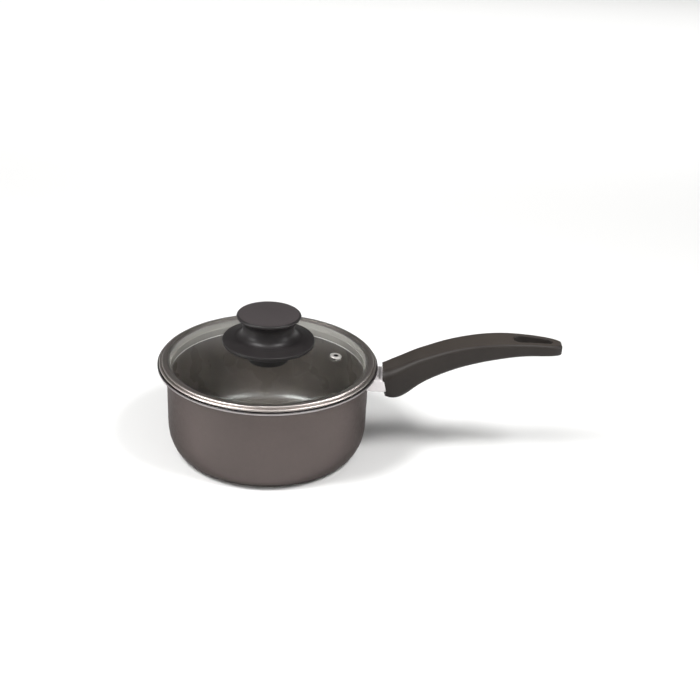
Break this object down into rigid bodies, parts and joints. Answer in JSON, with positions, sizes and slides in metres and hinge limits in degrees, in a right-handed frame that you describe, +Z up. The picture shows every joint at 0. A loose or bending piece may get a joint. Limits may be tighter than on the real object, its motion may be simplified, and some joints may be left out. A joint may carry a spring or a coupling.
{
  "type": "saucepan with glass lid",
  "caption": "Small flared-rim saucepan with a long curved handle on a metal flame guard and a lift-off domed glass lid with a steel rim, steam vent and round knob.",
  "frame": {"origin": "centre of the vessel's flat base, on the resting plane", "axes": "+Z up along the vessel's axis, +X along the handle away from the vessel, +Y to the left of the handle seen from above with the handle pointing right"},
  "size_m": [0.3253, 0.1786, 0.1178],
  "materials": {
    "painted_metal_taupe": "semi-gloss metallic taupe-grey outside, dark non-stick inside, bare machined lip edge",
    "aluminium_bare": "matte cast",
    "stainless_steel": "polished",
    "zinc_steel": "bright zinc",
    "phenolic_dark": "satin moulded, dark brown-grey",
    "phenolic_black": "satin moulded, charcoal",
    "clear_glass": "polished, tempered",
    "brass": "turned",
    "silicone_black": "matte"
  },
  "bodies": {
    "pan": {"vessel": "painted_metal_taupe", "handle_stud": "aluminium_bare", "flame_guard": "stainless_steel", "handle": "phenolic_dark", "handle_screw": "zinc_steel", "handle_screw_washer": "zinc_steel"},
    "lid_core": {"lid_screw": "stainless_steel", "knob_insert": "brass"},
    "lid": {"lid_knob": "phenolic_black", "knob_gasket": "silicone_black", "under_lid_washer": "phenolic_black", "lid_screw_washer": "stainless_steel", "lid_glass": "clear_glass", "lid_rim_band": "stainless_steel", "vent_eyelet": "stainless_steel", "vent_gasket": "silicone_black"}
  },
  "joints": [
    {"name": "lid_lift", "type": "slide", "parent": "pan", "child": "lid_core", "axis": [0, 0, 1], "range_m": [0, 0.12]},
    {"name": "lid_turn", "type": "hinge", "parent": "lid_core", "child": "lid", "pos_m": [0, 0, 0.0768], "axis": [0, 0, 1], "continuous": true}
  ]
}
